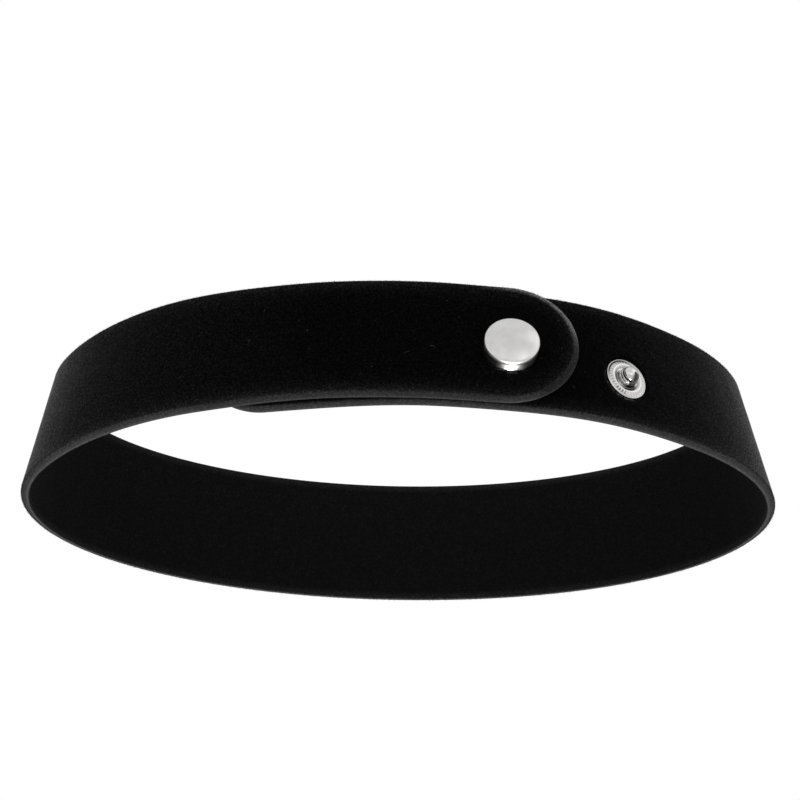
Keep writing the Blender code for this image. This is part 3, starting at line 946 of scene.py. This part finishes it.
SPECK_LENGTH = 0.3  # in millimetres; anything shorter is a speck, not a fibre
SPECK_GIRTH = 0.000045
FIBRE_GIRTH = 0.000026
SPECK_RINGS = 3
FIBRE_RINGS = 9
FIBRE_CORNERS = 6
FIBRE_BEND = 0.22
FIBRE_TURN = 2.6
FIBRE_CLEARANCE = 0.00006
FIBRE_END = 0.06  # of a fibre's girth, squared, at its ends
TAB_COVERS = 21.8  # millimetres along the strap up to which the tab lies over the tail


def lint():
    """Specks and short fibres caught on the pile of the nape's side."""
    solid = bmesh.new()
    for order, (along, height, length, heading) in enumerate(LINT):
        along = along / 1000 + (LOOP.length if along < TAB_COVERS else 0.0)
        turn = math.radians(heading)
        speck = length < SPECK_LENGTH
        thick = SPECK_GIRTH if speck else FIBRE_GIRTH
        count = SPECK_RINGS if speck else FIBRE_RINGS
        rings = []
        for step in range(count):
            share = step / (count - 1) - 0.5
            bend = 0.0 if speck else FIBRE_BEND * length * math.sin(FIBRE_TURN * share + order)
            side = along + (share * length * math.cos(turn) - bend * math.sin(turn)) / 1000
            up = (height + share * length * math.sin(turn) + bend * math.cos(turn)) / 1000
            base, lift, out = (item[0] for item in LOOP.axes(np.array([side])))
            across = np.cross(lift, out)
            middle = base + lift * up + out * FIBRE_CLEARANCE
            girth = thick * math.sqrt(max(1.0 - (2 * share) ** 2, FIBRE_END))
            square = across * math.sin(turn) - lift * math.cos(turn)
            ring = []
            for corner in range(FIBRE_CORNERS):
                angle = math.pi * corner / (FIBRE_CORNERS / 2)
                spoke = out * math.cos(angle) + square * math.sin(angle)
                ring.append(solid.verts.new(middle + spoke * girth))
            rings.append(ring)
        for ring, following in zip(rings, rings[1:]):
            for corner in range(FIBRE_CORNERS):
                there = (corner + 1) % FIBRE_CORNERS
                solid.faces.new((ring[corner], ring[there], following[there], following[corner]))
        solid.faces.new(rings[0])
        solid.faces.new(rings[-1])
    bmesh.ops.recalc_face_normals(solid, faces=solid.faces)
    mesh = bpy.data.meshes.new("lint")
    solid.to_mesh(mesh)
    solid.free()
    mesh.shade_smooth()
    body = bpy.data.objects.new("lint", mesh)
    bpy.context.scene.collection.objects.link(body)
    paint = Paint("lint_fibre", (0.12, 0.12, 0.12), 0.9)
    paint.shader.inputs["Specular IOR Level"].default_value = 0.1
    shades = ((0.35, (0.03, 0.03, 0.03)), (0.65, (0.16, 0.16, 0.16)))
    paint.colour(paint.ramp(paint.noise(300.0), shades))
    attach(body, "root")
    finish(body, paint.material)


lint()

FUZZ_SEED = 7
FUZZ_COUNT = 16000
FUZZ_LENGTHS = (0.00010, 0.00032)
FUZZ_GIRTH = 0.000016
FUZZ_ROOT = 0.00004  # how deep each end starts in the pile
FUZZ_SPREAD = 0.45  # how far the ends point off square
FUZZ_TILTS = (0.1, 1.35)  # from the face toward the edge, in radians
FUZZ_DEPTH_SHARE = 0.55
FUZZ_ANGLES = (0.0, 2.1, 4.2)


def fuzz():
    """Loose ends of the pile that stand out along the strap's edges."""
    chance = np.random.default_rng(FUZZ_SEED)
    middle = STRAP_WIDTH / 2
    tab_centre, tail_centre = LOOP.tab_tip - middle, LOOP.tail_tip + middle
    ring = 2 * (tab_centre - tail_centre) + 2 * math.pi * middle
    walked = chance.uniform(0.0, ring, FUZZ_COUNT)
    run = tab_centre - tail_centre
    half_turn = math.pi * middle
    turn = np.select(
        [walked < run, walked < run + half_turn, walked < 2 * run + half_turn],
        [-math.pi / 2 + 0 * walked, (walked - run) / middle - math.pi / 2, math.pi / 2 + 0 * walked],
        (walked - 2 * run - half_turn) / middle + math.pi / 2,
    )
    centre = np.select(
        [walked < run, walked < run + half_turn, walked < 2 * run + half_turn],
        [tail_centre + walked, tab_centre + 0 * walked, tab_centre - (walked - run - half_turn)],
        tail_centre + 0 * walked,
    )
    tilt = chance.uniform(*FUZZ_TILTS, FUZZ_COUNT)
    inset = EDGE_ROLL * (1.0 - np.sin(tilt))
    depth = FUZZ_DEPTH_SHARE * STRAP_THICKNESS * (1.0 - np.cos(tilt))
    along = centre + (middle - inset) * np.cos(turn)
    height = middle + (middle - inset) * np.sin(turn)
    base, up, out = LOOP.axes(along)
    side = np.cross(up, out)
    root = base + up * height[:, None] - out * depth[:, None]
    radial = side * np.cos(turn)[:, None] + up * np.sin(turn)[:, None]
    normal = out * np.cos(tilt)[:, None] + radial * np.sin(tilt)[:, None]
    normal += chance.normal(0.0, FUZZ_SPREAD, (FUZZ_COUNT, 3))
    normal /= np.linalg.norm(normal, axis=1, keepdims=True)
    across = np.cross(normal, chance.normal(0.0, 1.0, (FUZZ_COUNT, 3)))
    across /= np.linalg.norm(across, axis=1, keepdims=True)
    third = np.cross(normal, across)
    length = chance.uniform(*FUZZ_LENGTHS, FUZZ_COUNT)[:, None]
    foot = root - normal * FUZZ_ROOT
    corners = []
    for angle in FUZZ_ANGLES:
        corners.append(foot + FUZZ_GIRTH * (across * math.cos(angle) + third * math.sin(angle)))
    points = np.stack([*corners, root + normal * length], 1).reshape(-1, 3)
    first = 4 * np.arange(FUZZ_COUNT)[:, None]
    sides = np.array([(0, 2, 1), (0, 1, 3), (1, 2, 3), (2, 0, 3)])
    faces = (first[:, None, :] + sides[None]).reshape(-1, 3)
    mesh = bpy.data.meshes.new("pile_ends")
    mesh.from_pydata(points.tolist(), [], faces.tolist())
    body = bpy.data.objects.new("pile_ends", mesh)
    bpy.context.scene.collection.objects.link(body)
    paint = Paint("pile_end", (0.02, 0.02, 0.02), 1.0)
    paint.shader.inputs["Specular IOR Level"].default_value = 0.0
    shades = ((0.35, (0.008, 0.008, 0.008)), (0.65, (0.035, 0.035, 0.036)))
    paint.colour(paint.ramp(paint.noise(900.0), shades))
    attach(body, "root")
    finish(body, paint.material)


fuzz()

# Floor, light and camera

FLOOR_HALF = 4.0
FLOOR_LEVEL = -0.262
ROOM_TONES = (
    # share of the way from straight down to straight up, and how bright the room is there
    (0.00, 1.00),
    (0.45, 0.95),
    (0.60, 0.92),
    (0.74, 0.72),
    (1.00, 0.80),
)


def pale_floor():
    signs = ((-1, -1), (1, -1), (1, 1), (-1, 1))
    corners = [(across * FLOOR_HALF, deep * FLOOR_HALF, FLOOR_LEVEL) for across, deep in signs]
    mesh = bpy.data.meshes.new("floor")
    mesh.from_pydata(corners, [], [(0, 1, 2, 3)])
    floor = bpy.data.objects.new("floor", mesh)
    bpy.context.scene.collection.objects.link(floor)
    paint = Paint("pale_floor", (0.86, 0.86, 0.86), 0.8)
    paint.shader.inputs["Specular IOR Level"].default_value = 0.1
    speck = paint.noise(40.0, 2.0)
    paint.colour(paint.ramp(speck, ((0.3, (0.84, 0.84, 0.84)), (0.7, (0.88, 0.88, 0.88)))))
    floor.data.materials.append(paint.material)


def studio():
    """A white backdrop for the camera, and a soft room whose light falls off toward the top."""
    world = bpy.data.worlds.new("studio")
    bpy.context.scene.world = world
    world.use_nodes = True
    nodes, links = world.node_tree.nodes, world.node_tree.links
    backdrop = nodes["Background"]
    backdrop.inputs["Color"].default_value = (1.0, 1.0, 1.0, 1.0)
    backdrop.inputs["Strength"].default_value = 1.0
    room = nodes.new("ShaderNodeBackground")
    room.inputs["Strength"].default_value = 1.0
    heading = nodes.new("ShaderNodeTexCoord")
    parts = nodes.new("ShaderNodeSeparateXYZ")
    links.new(heading.outputs["Generated"], parts.inputs[0])
    height_map = nodes.new("ShaderNodeMapRange")
    height_map.inputs["From Min"].default_value = -1.0
    height_map.inputs["From Max"].default_value = 1.0
    links.new(parts.outputs["Z"], height_map.inputs["Value"])
    shades = nodes.new("ShaderNodeValToRGB")
    elements = shades.color_ramp.elements
    for position, _ in ROOM_TONES[1:-1]:
        elements.new(position)
    for element, (_, grey) in zip(elements, ROOM_TONES):
        element.color = (grey, grey, grey, 1.0)
    links.new(height_map.outputs["Result"], shades.inputs["Fac"])
    links.new(shades.outputs["Color"], room.inputs["Color"])
    seen = nodes.new("ShaderNodeLightPath")
    both = nodes.new("ShaderNodeMixShader")
    links.new(seen.outputs["Is Camera Ray"], both.inputs[0])
    links.new(room.outputs[0], both.inputs[1])
    links.new(backdrop.outputs[0], both.inputs[2])
    links.new(both.outputs[0], nodes["World Output"].inputs["Surface"])


pale_floor()
studio()


LIGHTS = (
    # name, place, what it points at, breadth, height and power in watts; seen only in gloss
    ("low_light", (0.012, -0.047, -0.20), (0.012, -0.055, 0.0), 0.045, 0.050, 1.6),
    ("front_box", (0.19, -0.52, 0.03), (0.036, -0.045, 0.0), 0.07, 0.10, 0.035),
    ("right_box", (0.62, -0.43, 0.56), (0.036, -0.045, 0.0), 0.50, 0.50, 0.35),
)


def area_light(name, place, target, breadth, height, power):
    light = bpy.data.lights.new(name, "AREA")
    light.shape = "RECTANGLE"
    light.size = breadth
    light.size_y = height
    light.energy = power
    body = bpy.data.objects.new(name, light)
    bpy.context.scene.collection.objects.link(body)
    body.location = place
    body.rotation_mode = "QUATERNION"
    body.rotation_quaternion = (Vector(target) - Vector(place)).to_track_quat("-Z", "Y")
    body.visible_camera = False
    body.visible_diffuse = False


for row in LIGHTS:
    area_light(*row)

CAMERA_PLACE = Vector((-0.05510, -0.44178, -0.20665))
CAMERA_YAW = math.radians(7.102)
CAMERA_PITCH = math.radians(26.104)
CAMERA_ROLL = math.radians(-0.732)
CAMERA_SENSOR = 36.0  # millimetres, as the lens
CAMERA_LENS = 112.5
CAMERA_NEAR = 0.01
CAMERA_FAR = 20.0


def camera_pose():
    level_run = math.cos(CAMERA_PITCH)
    forward = Vector(
        (math.sin(CAMERA_YAW) * level_run, math.cos(CAMERA_YAW) * level_run, math.sin(CAMERA_PITCH))
    )
    level = Vector((math.cos(CAMERA_YAW), -math.sin(CAMERA_YAW), 0.0))
    upright = level.cross(forward)
    right = level * math.cos(CAMERA_ROLL) + upright * math.sin(CAMERA_ROLL)
    above = -level * math.sin(CAMERA_ROLL) + upright * math.cos(CAMERA_ROLL)
    pose = Matrix((right, above, -forward)).transposed().to_4x4()
    pose.translation = CAMERA_PLACE
    return pose


camera_data = bpy.data.cameras.new("camera")
camera_data.sensor_width = CAMERA_SENSOR
camera_data.lens = CAMERA_LENS
camera_data.clip_start = CAMERA_NEAR
camera_data.clip_end = CAMERA_FAR
camera = bpy.data.objects.new("camera", camera_data)
bpy.context.scene.collection.objects.link(camera)
camera.matrix_world = camera_pose()
bpy.context.scene.camera = camera
bpy.context.scene.view_settings.view_transform = "Standard"
